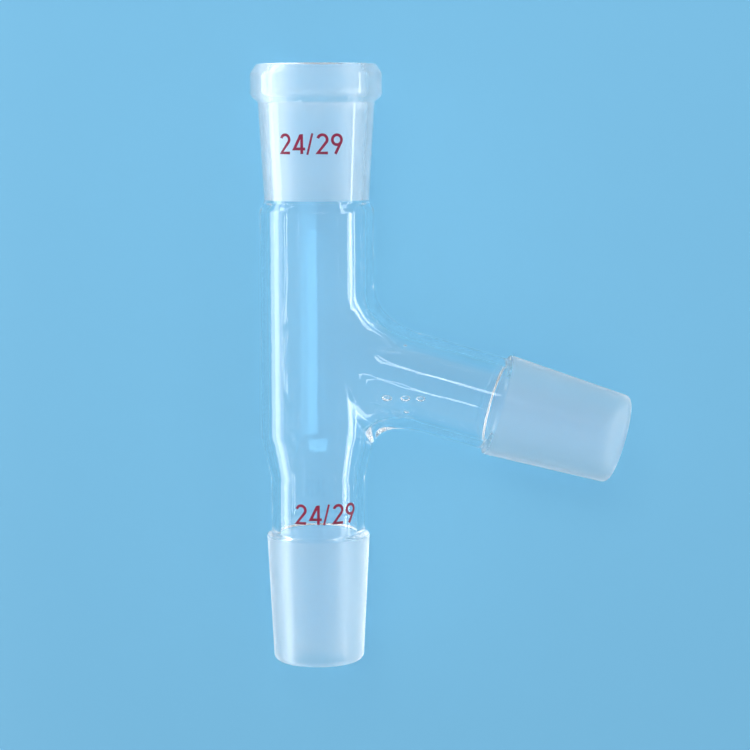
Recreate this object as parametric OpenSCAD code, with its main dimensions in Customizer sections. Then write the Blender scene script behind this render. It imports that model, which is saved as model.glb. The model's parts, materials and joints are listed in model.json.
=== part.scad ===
// Distillation head in blown borosilicate glass: a straight body with a socket on
// top, a ground cone below, and a side arm that ends in a second ground cone.
// The head is one piece of glass, and it lies on a bench as it comes to rest.

/* [Ground joints] */
// Diameter at the large end of every 1:10 ground taper
joint_d = 24; // [23:0.5:25]
// Ground length of the joints
joint_len = 29; // [26:1:30]
// Extra glass past the ground length, at the cone's rounded lip
lip_len = 0.4; // [0.2:0.1:1]

/* [Tubes] */
// Outer diameter of the wide body tube
body_d = 26.4; // [25.6:0.2:27.2]
// Outer diameter of the neck below the body and of the side arm
tube_d = 21.9; // [21:0.1:22.4]
// Wall thickness of the tubes
wall = 1.8; // [1.4:0.1:2.2]

/* [Lengths from the crossing of the two axes] */
// Height of the socket's rim above the crossing
rim_up = 66.8; // [64:0.2:70]
// Distance from the crossing down to the lower cone's tip
lower_reach = 72.8; // [72:0.2:80]
// Distance from the crossing out to the side cone's tip
side_reach = 73.8; // [72:0.2:80]
// Angle between the side arm and the lower cone
arm_angle = 73.4; // [70:0.2:76]

/* [Socket] */
// Outer diameter of the thick collar round the mouth
collar_d = 30.4; // [30:0.2:32]
// Height of the collar, rim to undercut
collar_h = 7.6; // [6.6:0.2:8.4]

/* [Taper under the body] */
// Where the body starts to narrow, below the crossing
narrow_start = 19; // [18:0.2:20]
// Where it has reached the neck's diameter
narrow_end = 30.4; // [29:0.2:30.6]

/* [Hidden] */
$fn = 96;

body_r = body_d / 2;
tube_r = tube_d / 2;
cone_r = joint_d / 2;
collar_r = collar_d / 2;
ground_slope = 1 / 20; // radius lost for each millimetre of a 1:10 taper
cone_len = joint_len + lip_len;
tip_r = cone_r - cone_len * ground_slope;

// ---- Outlines: corners given as [radius, height, rounding] ----
corner_steps = 5;

function unit(v) = v / norm(v);
function mix(a, b, t) = a + (b - a) * t;

// The arc that rounds corner b, between the neighbours a and c.
function corner_arc(a, b, c, r) =
    let(to_a = unit(a - b),
        to_c = unit(c - b),
        half = acos(to_a * to_c) / 2,
        centre = b + unit(to_a + to_c) * r / sin(half),
        from = b + to_a * r / tan(half) - centre,
        to = b + to_c * r / tan(half) - centre,
        swing = atan2(from.x * to.y - from.y * to.x, from * to))
    [for (i = [0 : corner_steps])
        let(t = swing * i / corner_steps)
        centre + [from.x * cos(t) - from.y * sin(t), from.x * sin(t) + from.y * cos(t)]];

function rounded(corners) =
    let(n = len(corners))
    [for (i = [0 : n - 1])
        let(b = corners[i],
            a = corners[(i + n - 1) % n],
            c = corners[(i + 1) % n])
        each b.z > 0
            ? corner_arc([a.x, a.y], [b.x, b.y], [c.x, c.y], b.z)
            : [[b.x, b.y]]];

// ---- The socket, with the straight top of the body under it ----
socket_wall = 1.75;
ground_depth = joint_len + 2.4; // the taper is ground a little past the cone's tip
shoulder_h = 4;
socket_end = rim_up - ground_depth;
body_top = 19;                  // the blown junction ends here

function ground_r(depth) = cone_r - depth * ground_slope;

module socket() {
    collar_foot = rim_up - collar_h;
    neck_r = ground_r(collar_h) + socket_wall + 0.1;
    foot_r = ground_r(ground_depth) + socket_wall;
    rotate_extrude() polygon(rounded([
        [body_r, body_top, 0],
        [body_r, socket_end - shoulder_h, 3],
        [foot_r + 0.35, socket_end - 0.6, 0.8],
        [foot_r, socket_end + 0.4, 0.6],
        [neck_r, collar_foot - 1.3, 0.7],
        [collar_r - 0.3, collar_foot, 0.7],
        [collar_r, collar_foot + 0.7, 0.5],
        [collar_r, rim_up - 2.2, 1.2],
        [collar_r - 1.4, rim_up, 0.9],
        [cone_r + 0.7, rim_up, 0.4],
        [cone_r, rim_up - 0.9, 0.3],
        [ground_r(ground_depth), socket_end, 0.3],
        [ground_r(ground_depth) + 0.1, socket_end - 1.2, 0.8],
        [body_r - wall, socket_end - shoulder_h - 0.4, 1.6],
        [body_r - wall, body_top, 0]
    ]));
}

// ---- A leg: straight tube and ground cone, pointing down from the crossing ----
module leg(start, reach) {
    large_end = cone_len - reach;
    bore_r = tube_r - wall;
    lip_wall = 2.2;
    rotate_extrude() polygon(rounded([
        [tube_r, -start, 0],
        [tube_r, large_end + 1.3, 0.6],
        [cone_r, large_end + 0.7, 0.5],
        [cone_r, large_end, 0.8],
        [tip_r, -reach, 1.5],
        [tip_r - lip_wall, -reach, 0.7],
        [tip_r - lip_wall, -reach + 2.4, 1.2],
        [bore_r, large_end - 1, 3],
        [bore_r, -start, 0]
    ]));
}

// ---- The blown junction of body, taper and side arm ----
// Each skin is the zero surface of flare(): two tubes whose surfaces run together
// over a reach that is long on top and underneath and short at the sides.
arm_dir = [sin(arm_angle), 0, -cos(arm_angle)];
arm_up = [cos(arm_angle), 0, sin(arm_angle)];
arm_root = 7;      // the arm's tube counts from here outwards
body_foot = 31;    // the blown junction ends this far below the crossing
arm_out = 34.5;    // and this far out along the arm
bury = 0.6;        // its ends run this far into the turned tubes

// Reach of the blend: [along the arm, along the body]
reach_top = [12, 8.5];
reach_under = [14.5, 7.2];
reach_side = [3.6, 1.2];
fade_top = 1.2;    // the reach falls off gently from the arm's top
fade_under = 4;    // and at once from under it

// A straight taper with eased ends.
ease = 0.12;
function eased(t) =
    t <= 0 ? 0 :
    t < ease ? t * t / (2 * ease * (1 - ease)) :
    t <= 1 - ease ? (t - ease / 2) / (1 - ease) :
    t < 1 ? 1 - (1 - t) * (1 - t) / (2 * ease * (1 - ease)) : 1;
function stem_r(z) =
    mix(body_r, tube_r, eased((-z - narrow_start) / (narrow_end - narrow_start)));

// The reach at a place whose sine of height round the arm is lift.
function reach_at(lift) =
    lift > 0
        ? mix(reach_side, reach_top, pow(lift, fade_top))
        : mix(reach_side, reach_under, pow(-lift, fade_under));

function flare(p, inset) =
    let(q = p - max(p * arm_dir, arm_root) * arm_dir,
        reach = reach_at(p * arm_up / norm(q)),
        u = (norm([p.x, p.y]) - stem_r(p.z) + inset) / reach[0],
        v = (norm(q) - tube_r + inset) / reach[1],
        h = max(0, 1 - abs(u - v)))
    min(u, v) - h * h / 4;

probe = 0.01;
function slope(p, inset) =
    [for (d = [[probe, 0, 0], [0, probe, 0], [0, 0, probe]])
        (flare(p + d, inset) - flare(p - d, inset)) / (2 * probe)];

// Moves a point onto the skin, down the slope of flare().
function settle(p, inset, steps = 5) =
    steps == 0 ? p :
    let(g = slope(p, inset))
    settle(p - g * flare(p, inset) / (g * g), inset, steps - 1);

// The skin is a grid: rows go down the body and columns round it, from the back. The
// arm's root takes a square out of the grid, and rings run from that hole along the arm.
cols = 48;
hole = 12;         // rows and columns that the arm's root takes out
rows_top = 6;
rows_foot = 12;
rows = rows_top + hole + rows_foot;
ring = 4 * hole;
arm_cols = 12;
back_top = 12;     // heights of the hole's first and last row, at the body's back
back_low = -17;

// Steps taken past start, up to count of them.
function ramp(i, start, count) = min(max(i - start, 0), count);

// Where the place at angle phi round the arm passes from body to arm.
function hem(phi, inset) =
    let(reach = reach_at(sin(phi)),
        r = tube_r - inset + reach[1] / 4,
        x = norm([body_r - inset + reach[0] / 4, 0]),
        y = r * cos(phi),
        s = (sqrt(x * x - y * y) - r * sin(phi) * arm_up.x) / arm_dir.x)
    settle(s * arm_dir + r * sin(phi) * arm_up + [0, y, 0], inset);

// Angle round the arm of the hem's point that a grid point runs out from: b rows below
// the hole's top and step columns from the front.
function hem_phi(b, step) =
    b == 0 ? 90 - 360 * step / ring :
    b == hole ? 360 * step / ring - 90 :
    45 - 90 * b / hole;

function body_point(k, c, inset) =
    let(b = ramp(k, rows_top, hole),
        step = abs(c - cols / 2),
        over = min(step, hole / 2),
        edge = hem(hem_phi(b, over), inset),
        away = (step - over) / (cols / 2 - hole / 2), // 0 at the hole, 1 at the back
        off = k < rows_top                            // 0 beside the hole, 1 at the ends
            ? 1 - k / rows_top
            : ramp(k, rows_top + hole, rows_foot) / rows_foot,
        z_beside = mix(edge.z, mix(back_top, back_low, b / hole), away * away * (3 - 2 * away)),
        z = mix(z_beside, k < rows_top ? body_top + bury : -body_foot, off),
        turn = mix(mix(atan2(edge.y, edge.x), 180, away), 360 * step / cols, off),
        proud = norm([edge.x, edge.y]) - stem_r(edge.z) + inset,
        r = stem_r(z) - inset + proud * pow(1 - away, 6) * (1 - off),
        a = c < cols / 2 ? -turn : turn)
    settle([r * cos(a), r * sin(a), z], inset);

function arm_point(a, j, inset) =
    let(phi = 90 - 360 * j / ring,
        s = mix(hem(phi, inset) * arm_dir, arm_out, a / arm_cols),
        r = tube_r - inset)
    settle(s * arm_dir + r * sin(phi) * arm_up + [0, r * cos(phi), 0], inset);

function beside_hole(k) = k > rows_top && k < rows_top + hole;

function skin(inset) = [
    for (k = [0 : rows]) for (c = [0 : cols - 1])
        if (!beside_hole(k) || abs(c - cols / 2) >= hole / 2) body_point(k, c, inset),
    for (a = [1 : arm_cols]) for (j = [0 : ring - 1]) arm_point(a, j, inset)
];

// Numbers of the skin's points. Each row beside the hole lacks left_out of them.
left_out = hole - 1;
grid_count = (rows + 1) * cols - left_out * left_out;
function body_at(k, c) =
    let(i = c % cols)
    k * cols + i - left_out * (ramp(k, rows_top + 1, left_out)
        + (beside_hole(k) && i > cols / 2 ? 1 : 0));
// The hole's edge starts at the top of the arm.
function edge_at(i) =
    let(half = hole / 2,
        across = ramp(i, 0, half) - ramp(i, half + hole, hole) + ramp(i, half + 3 * hole, half),
        down = ramp(i, half, hole) - ramp(i, half + 2 * hole, hole))
    body_at(rows_top + down, cols / 2 + across);
function arm_at(a, j) =
    a > 0 ? grid_count + (a - 1) * ring + j % ring : edge_at(j % ring);

function quad(a, b, c, d) = [[a, b, c], [a, c, d]];
skin_faces = [
    for (k = [0 : rows - 1]) for (c = [0 : cols - 1])
        if (k < rows_top || k >= rows_top + hole || abs(c + 0.5 - cols / 2) > hole / 2)
            each quad(body_at(k, c), body_at(k, c + 1), body_at(k + 1, c + 1), body_at(k + 1, c)),
    for (a = [0 : arm_cols - 1]) for (j = [0 : ring - 1])
        each quad(arm_at(a, j), arm_at(a, j + 1), arm_at(a + 1, j + 1), arm_at(a + 1, j))
];
rims = [
    [for (c = [0 : cols - 1]) body_at(0, c)],
    [for (c = [cols - 1 : -1 : 0]) body_at(rows, c)],
    [for (j = [ring - 1 : -1 : 0]) arm_at(arm_cols, j)]
];

module junction() {
    outside = skin(0.01);
    inside = skin(wall - 0.06);
    n = len(outside);
    polyhedron(concat(outside, inside), [
        each skin_faces,
        for (f = skin_faces) [f[2] + n, f[1] + n, f[0] + n],
        for (rim = rims) for (i = [0 : len(rim) - 1])
            let(a = rim[i], b = rim[(i + 1) % len(rim)])
            each quad(b, a, a + n, b + n)
    ]);
}

module glass() {
    socket();
    junction();
    leg(body_foot - bury, lower_reach);
    rotate([0, -arm_angle, 0]) leg(arm_out - bury, side_reach);
}

// ---- The head at rest: it lies on its collar, its body's lower end and its side cone ----
// Places on the axes above the three points of support, as [out along X, up the body].
collar_spot = [0, rim_up - collar_h + 1];
body_spot = [0, -narrow_start];
cone_spot = (side_reach - cone_len) * [arm_dir.x, arm_dir.z];
fall = (collar_r - body_r) / (collar_spot.y - body_spot.y);
axis_height = body_r - body_spot.y * fall; // of the crossing, over the bench
roll = asin((axis_height + cone_spot.y * fall - cone_r) / cone_spot.x);
pitch = asin(fall / cos(roll));
right_edge = side_reach * arm_dir.x + (tip_r - 0.8) * arm_up.x;
middle = [(right_edge - collar_r) / 2, (rim_up - lower_reach) / 2];

module distillation_head() {
    color([0.86, 0.93, 0.95, 0.35])
        translate([-middle.x, -middle.y, axis_height])
        rotate([pitch, roll, 0])
        rotate([-90, 0, 0])
        glass();
}

distillation_head();
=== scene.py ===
"""A distillation head in clear blown glass, with ground joints and red size marks, on a pale bench."""

import json
import math

import bmesh
import bpy
import numpy as np
from mathutils import Matrix, Vector


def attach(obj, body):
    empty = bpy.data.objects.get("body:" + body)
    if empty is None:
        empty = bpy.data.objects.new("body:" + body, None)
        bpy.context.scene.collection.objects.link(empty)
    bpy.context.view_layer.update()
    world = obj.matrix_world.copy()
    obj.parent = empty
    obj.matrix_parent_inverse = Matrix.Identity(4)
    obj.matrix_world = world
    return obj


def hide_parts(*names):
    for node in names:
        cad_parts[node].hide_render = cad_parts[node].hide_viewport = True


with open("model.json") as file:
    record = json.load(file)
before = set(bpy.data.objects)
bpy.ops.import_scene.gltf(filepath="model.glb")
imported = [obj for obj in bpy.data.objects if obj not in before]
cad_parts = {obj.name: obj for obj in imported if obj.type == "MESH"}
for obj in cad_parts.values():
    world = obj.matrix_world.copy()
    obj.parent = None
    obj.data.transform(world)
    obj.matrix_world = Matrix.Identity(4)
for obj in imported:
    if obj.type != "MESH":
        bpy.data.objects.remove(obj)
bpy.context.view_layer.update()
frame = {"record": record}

# ---- Places and sizes that the frame gives, in millimetres ----
MM = 0.001
mounts = {m["name"]: m for m in frame["record"]["mounts"]}


def spot(name):
    return Vector(mounts[name]["pos_m"]) / MM


def axis(name):
    return Vector(mounts[name]["axis"]).normalized()


UP = axis("top_socket")
ARM = axis("side_cone")
ACROSS = (ARM - ARM.dot(UP) * UP).normalized()
LEAN = math.acos(-ARM.dot(UP))  # between the side arm and the lower cone
ARM_REACH = (spot("side_cone") - spot("top_socket")).dot(ACROSS) / ARM.dot(ACROSS)
CROSSING = spot("side_cone") - ARM_REACH * ARM  # of the body's axis and the arm's
JOINT_R = mounts["top_socket"]["dims"]["r_mm"]
COLLAR_R = mounts["collar"]["dims"]["r_mm"]
BODY_R = mounts["body_clamp"]["dims"]["r_mm"]
RIM_UP = (spot("top_socket") - CROSSING).length
LOWER_END = (spot("flask_cone") - CROSSING).length  # the cones' large ends
SIDE_END = (spot("side_cone") - CROSSING).length

# ---- Sizes repeated from the part's source, in millimetres ----
TUBE_R = 10.95
WALL = 1.8
CONE_LEN = 29.4
GROUND_SLOPE = 1 / 20
COLLAR_H = 7.6
SOCKET_WALL = 1.75
GROUND_DEPTH = 31.4
SHOULDER_H = 2.2  # 4.0 in the source: the flame left this shoulder rounder and shorter
NARROW_START, NARROW_END, EASE = 19.0, 30.4, 0.12
ARM_ROOT = 7.0
BODY_TOP, BODY_FOOT, ARM_OUT = 19.0, 31.0, 34.5
REACH_TOP = (12.0, 8.5)
REACH_UNDER = (14.5, 7.2)
REACH_SIDE = (3.6, 1.2)
FADE_TOP, FADE_UNDER = 1.2, 4.0
TIP_R = JOINT_R - CONE_LEN * GROUND_SLOPE
LIP_WALL = 2.2
SEAL_UP = 0.4                 # the socket's straight outside begins this far above its end
COLLAR_NECK = 1.3             # and ends this far under the collar,
NECK_SWELL = 0.1              # where its wall is this much thicker

# ---- Mesh density: rows go down the body and columns round it, from the back ----
COLS = 192
HOLE = 48                     # rows and columns that the arm's root takes out
ROWS_TOP, ROWS_FOOT = 20, 38
ROWS = ROWS_TOP + HOLE + ROWS_FOOT
RING = 4 * HOLE
ARM_COLS = 46
BACK_TOP, BACK_LOW = 12.0, -17.0  # where the hole's first and last row end up at the body's back
CORNER_STEPS = 4
LONGEST_STEP = 3.0            # millimetres
CORNER_MARGIN = 0.12          # a longer step is also cut this near its ends, to keep its shading flat
PROBE = 0.01                  # half the step that a slope is measured over
SETTLE_ROUNDS = 6
PROUD_FADE = 6                # how fast the first guess at the flare dies away round the body

# ---- Traces of the flame, in millimetres ----
WELD_OUT = 14.0               # the weld's middle, along the arm
WELD_NEAR, WELD_FAR = 12.0, 22.0
WAVES = {0.0: 0.045, WALL: 0.04}  # height of the waves on the outer and the inner skin
WAVE_COUNT = 9
SHORTEST_WAVE, LONGEST_WAVE = 5, 11
WAVE_SEED = 24
BUBBLES = (                   # x, z and half length
    (15.9, -9.6, 1.2),
    (20.1, -9.7, 1.15),
    (23.6, -9.8, 1.05),
    (20.5, -12.9, 0.6),
    (20.1, 1.9, 0.4),
)
BUBBLE_DEEP = 0.9             # under the outer skin
BUBBLE_HIGH, BUBBLE_THIN = 0.62, 0.4  # shares of the half length
BISECTIONS = 30

arm_dir = np.array([math.sin(LEAN), 0, -math.cos(LEAN)])
arm_up = np.array([math.cos(LEAN), 0, math.sin(LEAN)])


def to_bench(points):
    """From the head's own frame to the row's: origin at the crossing, Z up the body, X towards the arm."""
    turn = np.array([ACROSS, UP.cross(ACROSS), UP])
    return (np.asarray(points) @ turn + np.array(CROSSING)) * MM


def mix(a, b, t):
    return a + (b - a) * t


def smooth(t):
    """From 0 to 1 with no slope at either end."""
    return t * t * (3 - 2 * t)


# ---- Outlines with rounded corners ----
def corner_arc(a, b, c, r):
    """Points of the arc of radius r that rounds the corner b between a and c."""
    to_a, to_c = (a - b) / np.linalg.norm(a - b), (c - b) / np.linalg.norm(c - b)
    half = math.acos(np.clip(to_a @ to_c, -1, 1)) / 2
    middle = to_a + to_c
    centre = b + middle / np.linalg.norm(middle) * r / math.sin(half)
    start, end = b + to_a * r / math.tan(half) - centre, b + to_c * r / math.tan(half) - centre
    swing = math.atan2(start[0] * end[1] - start[1] * end[0], start @ end)
    turns = np.linspace(0, swing, CORNER_STEPS + 1)
    return [centre + [start[0] * math.cos(t) - start[1] * math.sin(t),
                      start[0] * math.sin(t) + start[1] * math.cos(t)] for t in turns]


def outline(corners):
    """Points [radius, height] through corners (radius, height, rounding), with no long step between."""
    flat = [np.array(c[:2], float) for c in corners]
    points = [flat[0]]
    for i in range(1, len(corners) - 1):
        points += corner_arc(flat[i - 1], flat[i], flat[i + 1], corners[i][2])
    points.append(flat[-1])
    dense = [points[0]]
    for a, b in zip(points, points[1:]):
        length = np.linalg.norm(b - a)
        steps = max(1, math.ceil(length / LONGEST_STEP))
        cuts = list(np.linspace(0, 1, steps + 1)[1:])
        if length > LONGEST_STEP:
            cuts = sorted({CORNER_MARGIN / length, *cuts, 1 - CORNER_MARGIN / length})
        dense += [a + (b - a) * t for t in cuts]
    return np.array(dense)


def ground_r(depth):
    """Radius of a ground taper at a depth from its large end."""
    return JOINT_R - depth * GROUND_SLOPE


def socket_outline():
    end = RIM_UP - GROUND_DEPTH
    foot = RIM_UP - COLLAR_H
    foot_r = ground_r(GROUND_DEPTH) + SOCKET_WALL
    return outline([
        (BODY_R, BODY_TOP, 0),
        (BODY_R, end - SHOULDER_H, 1.2),
        (foot_r + 0.1, end - 0.4, 0.5),
        (foot_r, end + SEAL_UP, 0.6),
        (ground_r(COLLAR_H) + SOCKET_WALL + NECK_SWELL, foot - COLLAR_NECK, 0.7),
        (COLLAR_R - 0.3, foot, 0.7),
        (COLLAR_R, foot + 0.7, 0.5),
        (COLLAR_R, RIM_UP - 2.2, 1.2),
        (COLLAR_R - 1.4, RIM_UP, 0.9),
        (JOINT_R + 0.7, RIM_UP, 0.4),
        (JOINT_R, RIM_UP - 0.9, 0.3),
        (ground_r(GROUND_DEPTH), end, 0.3),
        (ground_r(GROUND_DEPTH) + 0.05, end - 0.9, 0.6),
        (BODY_R - WALL, end - SHOULDER_H - 0.3, 0.8),
        (BODY_R - WALL, BODY_TOP, 0),
    ])


def leg_outline(start, large_end):
    """A tube from start outwards, with a ground cone whose large end is at large_end."""
    tip = -large_end - CONE_LEN
    return outline([
        (TUBE_R, -start, 0),
        (TUBE_R, -large_end + 1.3, 0.6),
        (JOINT_R, -large_end + 0.7, 0.5),
        (JOINT_R, -large_end, 0.8),
        (TIP_R, tip, 1.5),
        (TIP_R - LIP_WALL, tip, 0.7),
        (TIP_R - LIP_WALL, tip + 2.4, 1.2),
        (TUBE_R - WALL, -large_end - 1, 3),
        (TUBE_R - WALL, -start, 0),
    ])


# ---- The blown junction: two tubes whose skins run together ----
def eased(t):
    """From 0 to 1 in a straight line, rounded over EASE of the way at both ends."""
    e = EASE
    rise = t * t / (2 * e * (1 - e))
    fall = 1 - (1 - t) ** 2 / (2 * e * (1 - e))
    line = (t - e / 2) / (1 - e)
    within = np.where(t < e, rise, np.where(t <= 1 - e, line, fall))
    return np.where(t <= 0, 0, np.where(t < 1, within, 1))


def stem_r(z):
    """Outer radius of the body, its taper and its neck."""
    return mix(BODY_R, TUBE_R, eased((-z - NARROW_START) / (NARROW_END - NARROW_START)))


def reach_at(lift):
    """Reach of the blend where the sine of height round the arm is lift."""
    lift = np.asarray(lift)[..., None]
    top, under, side = (np.array(r) for r in (REACH_TOP, REACH_UNDER, REACH_SIDE))
    share = np.abs(lift) ** np.where(lift > 0, FADE_TOP, FADE_UNDER)
    return mix(side, np.where(lift > 0, top, under), share)


def flare(p, inset):
    """Below 0 within the skin and above 0 beyond it: both tubes' distances, run together near the weld."""
    along = np.maximum(p @ arm_dir, ARM_ROOT)
    q = p - along[..., None] * arm_dir
    far = np.linalg.norm(q, axis=-1)
    reach = reach_at(p @ arm_up / far)
    u = (np.hypot(p[..., 0], p[..., 1]) - stem_r(p[..., 2]) + inset) / reach[..., 0]
    v = (far - TUBE_R + inset) / reach[..., 1]
    h = np.maximum(0, 1 - np.abs(u - v))
    return np.minimum(u, v) - h * h / 4


def settle(p, inset):
    """Moves points onto the skin, down the slope of flare()."""
    for _ in range(SETTLE_ROUNDS):
        slope = np.stack([(flare(p + d, inset) - flare(p - d, inset)) / (2 * PROBE)
                          for d in PROBE * np.eye(3)], -1)
        p = p - slope * (flare(p, inset) / (slope * slope).sum(-1))[..., None]
    return p


def normal(p, inset):
    slope = np.stack([flare(p + d, inset) - flare(p - d, inset) for d in PROBE * np.eye(3)], -1)
    return slope / np.linalg.norm(slope, axis=-1, keepdims=True)


def flame_waves(p, seed):
    """Smooth unevenness, about 1 high, of waves that run in every direction."""
    rng = np.random.default_rng(seed)
    ways = rng.normal(size=(WAVE_COUNT, 3))
    lengths = rng.uniform(SHORTEST_WAVE, LONGEST_WAVE, WAVE_COUNT)
    ways *= (2 * math.pi / lengths / np.linalg.norm(ways, axis=1))[:, None]
    starts = rng.uniform(0, 2 * math.pi, WAVE_COUNT)
    return np.sin(p @ ways.T + starts).sum(-1) / math.sqrt(WAVE_COUNT)


def worked(p, inset):
    """The skin as the flame left it, with slow waves round the weld."""
    away = np.linalg.norm(p - WELD_OUT * arm_dir, axis=-1)
    near = np.clip((WELD_FAR - away) / (WELD_FAR - WELD_NEAR), 0, 1)
    height = WAVES[inset] * flame_waves(p, WAVE_SEED + round(inset)) * smooth(near)
    return p + height[..., None] * normal(p, inset)


def round_axis(r, phi):
    """Points at distance r from the arm's axis, at angle phi round it."""
    return (r * np.sin(phi))[..., None] * arm_up + (r * np.cos(phi))[..., None] * [0, 1, 0]


def hem(phi, inset):
    """Where the place at angle phi round the arm passes from body to arm.

    Both tubes are equally near there, so the blend stands a quarter of its reach proud of each.
    """
    reach = reach_at(np.sin(phi))
    r = TUBE_R - inset + reach[..., 1] / 4
    x = BODY_R - inset + reach[..., 0] / 4
    s = (np.sqrt(x * x - (r * np.cos(phi)) ** 2) - r * np.sin(phi) * arm_up[0]) / arm_dir[0]
    return settle(s[..., None] * arm_dir + round_axis(r, phi), inset)


def ramp(i, start, count):
    """Steps taken past start, up to count of them."""
    return np.clip(i - start, 0, count)


def body_grid(inset):
    """Points down and round the body, and which places of the grid they fill: the hole's are left out."""
    row, col = np.mgrid[0:ROWS + 1, 0:COLS]
    beside = ramp(row, ROWS_TOP, HOLE)
    step = np.abs(col - COLS // 2)
    over = np.minimum(step, HOLE // 2)
    phi = np.where(beside == 0, 0.5 * RING - 2 * over, np.where(
        beside == HOLE, 2 * over - 0.5 * RING, HOLE - 2 * beside)) * math.pi / RING
    edge = hem(phi, inset)
    edge_turn = np.arctan2(edge[..., 1], edge[..., 0])
    proud = np.hypot(edge[..., 0], edge[..., 1]) - stem_r(edge[..., 2]) + inset
    away = (step - over) / (COLS // 2 - HOLE // 2)
    turn = mix(edge_turn, math.pi, away)
    z = mix(edge[..., 2], mix(BACK_TOP, BACK_LOW, beside / HOLE), smooth(away))
    below = ramp(row, ROWS_TOP + HOLE, ROWS_FOOT) / ROWS_FOOT
    out = np.where(row < ROWS_TOP, 1 - row / ROWS_TOP, below)
    turn = mix(turn, 2 * math.pi * step / COLS, out)
    z = mix(z, np.where(row < ROWS_TOP, BODY_TOP, -BODY_FOOT), out)
    r = stem_r(z) - inset + proud * (1 - away) ** PROUD_FADE * (1 - out)
    turn = np.where(col < COLS // 2, -turn, turn)
    body = settle(np.stack([r * np.cos(turn), r * np.sin(turn), z], -1), inset)
    kept = (np.abs(row - ROWS_TOP - HOLE // 2) >= HOLE // 2) | (step >= HOLE // 2)
    return worked(body[kept], inset), kept


def arm_rings(inset):
    """Rings of points from the hole's edge out along the arm, without the edge itself."""
    phi = math.pi * (0.5 - 2 * np.arange(RING) / RING)
    edge = hem(phi, inset)
    share = (np.arange(1, ARM_COLS + 1) / ARM_COLS)[:, None]
    s = mix(edge @ arm_dir, ARM_OUT, share)
    rings = settle(s[..., None] * arm_dir + round_axis(TUBE_R - inset, phi), inset)
    return worked(rings, inset)


# ---- One closed mesh: two skins joined by turned ends ----
class Shell:
    """Points and quads of one mesh, with a mark on each quad that is ground."""

    def __init__(self):
        self.points, self.faces, self.ground = [], [], []

    def add(self, points):
        """Returns the new points' numbers."""
        first = sum(len(p) for p in self.points)
        self.points.append(points)
        return first + np.arange(len(points))

    def strip(self, a, b, ground=False):
        """Quads between two closed rings of point numbers."""
        quads = np.stack([a, np.roll(a, -1), np.roll(b, -1), b], -1)
        self.faces.append(quads)
        self.ground.append(np.full(len(quads), ground))

    def sheet(self, grid):
        """Quads over a grid of point numbers, where -1 is a point left out."""
        quads = np.stack([grid[:-1, :-1], grid[:-1, 1:], grid[1:, 1:], grid[1:, :-1]], -1).reshape(-1, 4)
        quads = quads[(quads >= 0).all(1)]
        self.faces.append(quads)
        self.ground.append(np.full(len(quads), False))


def add_skin(shell, inset):
    """Returns the point numbers of the skin's three end rings: top, foot and arm."""
    points, kept = body_grid(inset)
    body = np.full(kept.shape, -1)
    body[kept] = shell.add(points)
    arm = shell.add(arm_rings(inset).reshape(-1, 3)).reshape(ARM_COLS, RING)
    shell.sheet(np.hstack([body, body[:, :1]]))
    i, half = np.arange(RING), HOLE // 2  # once round the hole, from the middle of its top edge
    across = ramp(i, 0, half) - ramp(i, half + HOLE, HOLE) + ramp(i, half + 3 * HOLE, half)
    down = ramp(i, half, HOLE) - ramp(i, half + 2 * HOLE, HOLE)
    for a, b in zip([body[ROWS_TOP + down, COLS // 2 + across], *arm[:-1]], arm):
        shell.strip(a, b)
    return body[0], body[-1], arm[-1]


def turned_end(shell, profile, place, outer, inner, is_ground):
    """Revolves an open outline between the outer skin's ring and the inner skin's."""
    turned = [shell.add(place(r, z, len(outer))) for r, z in profile[1:-1]]
    rings = [outer, *turned, inner]
    for i, (a, b) in enumerate(zip(rings, rings[1:])):
        middle = (profile[i] + profile[i + 1]) / 2
        shell.strip(a, b, is_ground(*middle))


def round_body(r, z, count):
    """A ring round the body's axis at height z."""
    a = 2 * math.pi * np.arange(count) / count - math.pi
    return np.stack([r * np.cos(a), r * np.sin(a), z + 0 * a], -1)


def round_arm(r, z, count):
    """A ring round the arm's axis; z falls outwards along it, as it does down the neck."""
    return -z * arm_dir + round_axis(r, math.pi * (0.5 - 2 * np.arange(count) / count))


def in_socket(r, z):
    """Whether the socket is ground at this radius and height."""
    return r < JOINT_R + 0.1 and RIM_UP - GROUND_DEPTH < z < RIM_UP - 0.4


def on_cone(large_end):
    """A test for whether a cone is ground at a radius and height."""
    def test(r, z):
        return r > TIP_R - 0.9 and -large_end - CONE_LEN + 0.1 < z < -large_end + 0.4
    return test


def tidy_normals(mesh):
    """Turns every face outwards."""
    work = bmesh.new()
    work.from_mesh(mesh)
    bmesh.ops.recalc_face_normals(work, faces=work.faces)
    work.to_mesh(mesh)
    work.free()


def in_front_wall(x, z):
    """The point at x and z that lies BUBBLE_DEEP under the front of the outer skin."""
    inner, outer = 0.0, 2 * BODY_R
    for _ in range(BISECTIONS):
        middle = (inner + outer) / 2
        beyond = flare(np.array([x, -middle, z]), BUBBLE_DEEP) > 0
        inner, outer = (inner, middle) if beyond else (middle, outer)
    return np.array([x, -inner, z])


def flat_in_wall(place):
    """The matrix that presses a ball flat in the wall at place, and moves it there."""
    out = normal(place, BUBBLE_DEEP)
    along = np.array([1, 0, 0]) - out[0] * out
    along /= np.linalg.norm(along)
    sides = np.array([along, np.cross(out, along), out]) * [[1], [BUBBLE_HIGH], [BUBBLE_THIN]]
    corners = to_bench(np.vstack([place, place + sides]))
    matrix = Matrix((corners[1:] - corners[0]).T.tolist()).to_4x4()
    matrix.translation = corners[0]
    return matrix


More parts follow.
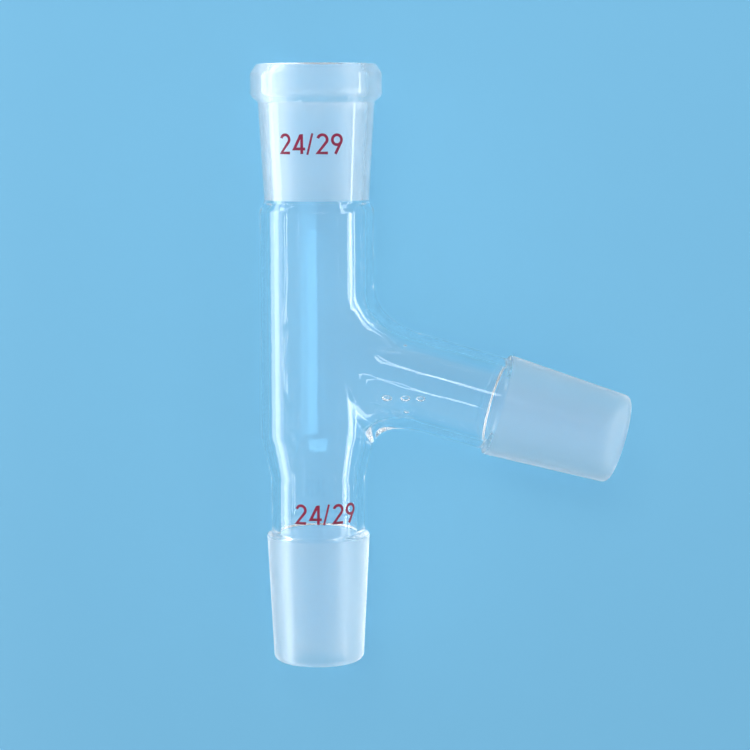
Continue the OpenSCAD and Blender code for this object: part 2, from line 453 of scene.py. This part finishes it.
def add_bubbles(mesh):
    """Closes small bubbles into the front wall, their faces turned in to the air that they hold."""
    work = bmesh.new()
    work.from_mesh(mesh)
    for x, z, half in BUBBLES:
        matrix = flat_in_wall(in_front_wall(x, z))
        made = bmesh.ops.create_icosphere(work, subdivisions=2, radius=half, matrix=matrix)
        faces = {face for vert in made["verts"] for face in vert.link_faces}
        bmesh.ops.reverse_faces(work, faces=list(faces))
    work.to_mesh(mesh)
    work.free()


def build_glass():
    shell = Shell()
    outer, inner = add_skin(shell, 0.0), add_skin(shell, WALL)
    turned_end(shell, socket_outline(), round_body, outer[0], inner[0], in_socket)
    neck, arm = leg_outline(BODY_FOOT, LOWER_END), leg_outline(ARM_OUT, SIDE_END)
    turned_end(shell, neck, round_body, outer[1], inner[1], on_cone(LOWER_END))
    turned_end(shell, arm, round_arm, outer[2], inner[2], on_cone(SIDE_END))
    points, faces = to_bench(np.concatenate(shell.points)), np.concatenate(shell.faces)
    mesh = bpy.data.meshes.new("glass_head")
    mesh.from_pydata(points.tolist(), [], faces.tolist())
    mesh.polygons.foreach_set("material_index", np.concatenate(shell.ground).astype(np.int32))
    tidy_normals(mesh)
    add_bubbles(mesh)
    mesh.shade_smooth()
    return bpy.data.objects.new("glass_head", mesh)


# ---- The size mark, printed in red enamel round the socket and the neck ----
PRINT = "24/29"
PRINT_TALL, STROKE, SLASH_STROKE = 4.55, 0.64, 0.46
PRINT_THICK, PRINT_CLEAR = 0.03, 0.008
PRINT_STEPS = (-5.96, -2.4, 0.0, 2.86, 6.25)  # middles of the figures
MITRE_LIMIT = 0.45
SOCKET_MARK = (46.3, -6.9)     # height of the foot over the crossing, and degrees round the axis
NECK_MARK = (-38.8, 9.3)


def arc(x, y, r, start, end, steps=22):
    """Points of an arc from one angle to the other, in degrees."""
    t = np.radians(np.linspace(start, end, steps))
    return [(x + r * math.cos(a), y + r * math.sin(a)) for a in t]


# The strokes of each figure, in shares of its height
GLYPHS = {
    "2": [arc(0, 0.715, 0.235, 165, -38) + [(-0.235, 0.05), (0.27, 0.05)]],
    "4": [[(0.29, 0.25), (-0.27, 0.25), (0.07, 0.94)], [(0.12, 0.98), (0.12, 0.0)]],
    "/": [[(-0.13, -0.04), (0.13, 1.02)]],
    "9": [[(-0.09, 0.0)] + arc(0, 0.7, 0.245, -28, 332, 40)],
}


def stroke_sides(line, width):
    """The two edges of a stroke along a line of points, mitred at its corners."""
    line = np.array(line) * PRINT_TALL
    step = np.diff(line, axis=0)
    across = np.stack([-step[:, 1], step[:, 0]], -1) / np.linalg.norm(step, axis=1)[:, None]
    before, after = np.vstack([across[:1], across]), np.vstack([across, across[-1:]])
    mitre = before + after
    mitre /= np.maximum((mitre * before).sum(1), MITRE_LIMIT)[:, None]
    return line + mitre * width / 2, line - mitre * width / 2


def ribbon(left, right, bend):
    """A thin closed ribbon between two edges, just off the glass that bend() wraps it round."""
    n = len(left)
    points = [bend(u, h, lift) for lift in (PRINT_CLEAR, PRINT_CLEAR + PRINT_THICK)
              for u, h in np.vstack([left, right])]
    faces = [(0, n, 3 * n, 2 * n), (2 * n - 1, n - 1, 3 * n - 1, 4 * n - 1)]
    for i in range(n - 1):
        a, b, c, d = i, i + 1, n + i + 1, n + i
        faces += [(a, b, c, d), (2 * n + d, 2 * n + c, 2 * n + b, 2 * n + a),
                  (a, 2 * n + a, 2 * n + b, b), (c, 2 * n + c, 2 * n + d, d)]
    return points, faces


def bend_round(foot, turn, radius_at, step):
    """A function that lays a figure, step along the mark, round glass of the radius at each height."""
    def bend(u, h, lift):
        r = radius_at(foot + h)
        a = math.radians(turn) + (step + u) / r
        return [(r + lift) * math.sin(a), -(r + lift) * math.cos(a), foot + h]
    return bend


def add_print(name, foot, turn, radius_at, enamel):
    points, faces = [], []
    for figure, step in zip(PRINT, PRINT_STEPS):
        bend = bend_round(foot, turn, radius_at, step)
        for line in GLYPHS[figure]:
            edges = stroke_sides(line, SLASH_STROKE if figure == "/" else STROKE)
            new_points, new_faces = ribbon(*edges, bend)
            faces += [[len(points) + k for k in face] for face in new_faces]
            points += new_points
    mesh = bpy.data.meshes.new(name)
    mesh.from_pydata(to_bench(points).tolist(), [], faces)
    mesh.materials.append(enamel)
    tidy_normals(mesh)
    made = bpy.data.objects.new(name, mesh)
    bpy.context.collection.objects.link(made)
    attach(made, "root")


def socket_r(height):
    """Outer radius of the socket between its foot and the collar."""
    end, foot = RIM_UP - GROUND_DEPTH + SEAL_UP, RIM_UP - COLLAR_H - COLLAR_NECK
    share = (height - end) / (foot - end)
    return SOCKET_WALL + mix(ground_r(GROUND_DEPTH), ground_r(COLLAR_H) + NECK_SWELL, share)


# ---- Materials ----
GLASS_IOR = 1.47


def material(name):
    """A new material and its empty node tree."""
    made = bpy.data.materials.new(name)
    made.use_nodes = True
    tree = made.node_tree
    tree.nodes.clear()
    return made, tree


def node(tree, kind, **inputs):
    """A new node whose inputs are set to values, or linked to other nodes' outputs."""
    made = tree.nodes.new(kind)
    for name, value in inputs.items():
        socket = made.inputs[name.replace("_", " ")]
        if isinstance(value, bpy.types.NodeSocket):
            tree.links.new(value, socket)
        else:
            socket.default_value = value
    return made


def let_lamps_through(tree, shader, tint):
    """Rays from lamps pass the glass, so that it casts the pale shadow of real glass."""
    clear = node(tree, "ShaderNodeBsdfTransparent", Color=(*tint, 1))
    path = node(tree, "ShaderNodeLightPath")
    choice = node(tree, "ShaderNodeMixShader", Fac=path.outputs["Is Shadow Ray"])
    tree.links.new(shader, choice.inputs[1])
    tree.links.new(clear.outputs[0], choice.inputs[2])
    node(tree, "ShaderNodeOutputMaterial", Surface=choice.outputs[0])


def noise_over(tree, scale, detail):
    """Noise that is fixed to the object."""
    place = node(tree, "ShaderNodeTexCoord")
    return node(tree, "ShaderNodeTexNoise", Vector=place.outputs["Object"], Scale=scale, Detail=detail)


def ripple_bump(tree, scale, detail, strength, distance):
    height = noise_over(tree, scale, detail).outputs["Fac"]
    return node(tree, "ShaderNodeBump", Height=height, Strength=strength, Distance=distance)


def clear_glass():
    made, tree = material("clear_glass")
    bump = ripple_bump(tree, scale=90.0, detail=2.0, strength=0.12, distance=0.0006)
    glass = node(tree, "ShaderNodeBsdfPrincipled", Base_Color=(0.985, 0.995, 1.0, 1), Roughness=0.0,
                 IOR=GLASS_IOR, Transmission_Weight=1.0, Normal=bump.outputs[0])
    let_lamps_through(tree, glass.outputs[0], tint=(0.965, 0.975, 0.98))
    return made


def ground_glass():
    made, tree = material("ground_glass")
    bump = ripple_bump(tree, scale=2600.0, detail=3.0, strength=0.25, distance=0.00012)
    glass = node(tree, "ShaderNodeBsdfPrincipled", Base_Color=(0.97, 0.985, 0.99, 1), Roughness=0.42,
                 IOR=GLASS_IOR, Transmission_Weight=0.93, Normal=bump.outputs[0])
    let_lamps_through(tree, glass.outputs[0], tint=(0.86, 0.88, 0.9))
    return made


def red_enamel():
    made, tree = material("red_enamel")
    noise = noise_over(tree, scale=900.0, detail=3.0)
    shade = node(tree, "ShaderNodeValToRGB", Fac=noise.outputs["Fac"])
    shade.color_ramp.elements[0].color = (0.20, 0.005, 0.04, 1)
    shade.color_ramp.elements[1].color = (0.36, 0.012, 0.065, 1)
    coat = node(tree, "ShaderNodeBsdfPrincipled", Base_Color=shade.outputs["Color"],
                Roughness=0.35, IOR=1.5)
    node(tree, "ShaderNodeOutputMaterial", Surface=coat.outputs[0])
    return made


def bench_top():
    made, tree = material("bench_top")
    top = node(tree, "ShaderNodeBsdfPrincipled", Base_Color=(0.20, 0.53, 0.80, 1),
               Roughness=0.8, IOR=1.2)
    node(tree, "ShaderNodeOutputMaterial", Surface=top.outputs[0])
    return made


# ---- Camera ----
LENS = 110.4                  # millimetres
AIM_RIGHT, AIM_UP = 13.4, -5.35  # millimetres from the crossing
CAMERA_AWAY = 0.5372          # metres
CAMERA_TILT, CAMERA_ROLL = math.radians(5.0), math.radians(0.22)
CLIP_START = 0.01             # metres


def add_camera():
    """Stands over the bench, a little towards the socket, and looks down at the head's middle."""
    data = bpy.data.cameras.new("camera")
    data.lens = LENS
    data.clip_start = CLIP_START
    camera = bpy.data.objects.new("camera", data)
    target = (CROSSING + Vector((AIM_RIGHT, AIM_UP, 0))) * MM
    camera.location = target + CAMERA_AWAY * Vector((0, math.sin(CAMERA_TILT), math.cos(CAMERA_TILT)))
    back = (camera.location - target).normalized()
    right = Vector((math.cos(CAMERA_ROLL), -math.sin(CAMERA_ROLL), 0))
    right = (right - right.dot(back) * back).normalized()
    camera.rotation_euler = Matrix((right, back.cross(right), back)).transposed().to_euler()
    bpy.context.collection.objects.link(camera)
    bpy.context.scene.camera = camera


# ---- Light ----
HEAD_MIDDLE = (0, 0, 0.013)   # metres
ROOM_LIGHT = 0.56
GATHERED_FROM, GATHERED_SPREAD = 0.05, math.radians(1.4)  # metres over the bench, and an angle


def softbox(name, place, aim, width, height, radiance):
    """A flat lamp at place that faces aim; its sides are in metres."""
    data = bpy.data.lights.new(name, "AREA")
    data.shape = "RECTANGLE"
    data.size, data.size_y = width, height
    data.energy = radiance * math.pi * width * height
    lamp = bpy.data.objects.new(name, data)
    lamp.location = place
    lamp.rotation_euler = (Vector(place) - Vector(aim)).to_track_quat("Z", "Y").to_euler()
    bpy.context.collection.objects.link(lamp)
    return lamp


def gathered_light(name, x, y, width, length, radiance):
    """Light that the hollow body gathers on the bench; x, y and the sides are in millimetres."""
    foot = (CROSSING + x * ACROSS + y * UP) * MM
    foot.z = 0
    over = foot + Vector((0, 0, GATHERED_FROM))
    lamp = softbox(name, over, foot, width * MM, length * MM, radiance)
    lamp.rotation_euler = (0, 0, 0)  # straight down, with its length along the body
    lamp.data.spread = GATHERED_SPREAD
    lamp.visible_glossy = lamp.visible_transmission = False


def edge_card(name, x, height, length, radiance):
    """A low white card that draws a bright band down the body; x and its sides are in millimetres."""
    place = Vector((CROSSING.x + x, 0, height / 2)) * MM
    aim = Vector((CROSSING.x, 0, height / 2)) * MM
    lamp = softbox(name, place, aim, length * MM, height * MM, radiance)
    lamp.visible_diffuse = False  # it leaves the bench alone


def add_light():
    softbox("left_softbox", (-0.9, 0.0, 0.085), HEAD_MIDDLE, width=2.6, height=0.16, radiance=3.0)
    softbox("right_strip", (0.9, 0.0, 0.13), HEAD_MIDDLE, width=1.1, height=0.06, radiance=9.0)
    softbox("back_softbox", (0.12, 0.45, 0.9), HEAD_MIDDLE, width=0.6, height=0.06, radiance=8.0)
    key = softbox("key_light", (-0.22, 0.5, 0.75), HEAD_MIDDLE, width=0.35, height=0.35, radiance=7.5)
    key.visible_glossy = False  # it draws the shadow, and no stripe in the glass
    key.visible_transmission = False
    edge_card("left_card", x=-86.0, height=20.0, length=500.0, radiance=5.0)
    gathered_light("body_glow", x=-2.6, y=6.7, width=4.4, length=55.0, radiance=0.2)
    gathered_light("body_stripe", x=-1.6, y=4.2, width=2.2, length=48.0, radiance=0.42)
    gathered_light("body_flank", x=1.0, y=4.2, width=1.4, length=46.0, radiance=0.12)
    gathered_light("foot_patch", x=-0.3, y=-23.4, width=4.8, length=2.8, radiance=0.38)


def add_room():
    world = bpy.data.worlds.new("room")
    world.use_nodes = True
    background = world.node_tree.nodes["Background"]
    background.inputs["Color"].default_value = (1, 1, 1, 1)
    background.inputs["Strength"].default_value = ROOM_LIGHT
    bpy.context.scene.world = world


# ---- Bench ----
BENCH_SIDE = 4.0  # metres


def add_floor():
    bpy.ops.mesh.primitive_plane_add(size=BENCH_SIDE, location=(0, 0, 0))
    floor = bpy.context.object
    floor.name = "bench_top"
    floor.data.materials.append(bench_top())


# ---- The scene ----
RAY_BOUNCES, SHADOW_LAYERS = 256, 64

glass = build_glass()
bpy.context.collection.objects.link(glass)
glass.data.materials.append(clear_glass())
glass.data.materials.append(ground_glass())
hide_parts("distillation_head")
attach(glass, "root")

enamel = red_enamel()
add_print("size_mark_socket", *SOCKET_MARK, socket_r, enamel)
add_print("size_mark_neck", *NECK_MARK, lambda height: TUBE_R, enamel)

add_camera()
add_light()
add_room()
add_floor()

settings = bpy.context.scene
settings.view_settings.view_transform = "Standard"
settings.cycles.use_denoising = True
settings.cycles.max_bounces = RAY_BOUNCES
settings.cycles.transmission_bounces = RAY_BOUNCES
settings.cycles.glossy_bounces = RAY_BOUNCES
settings.cycles.transparent_max_bounces = SHADOW_LAYERS
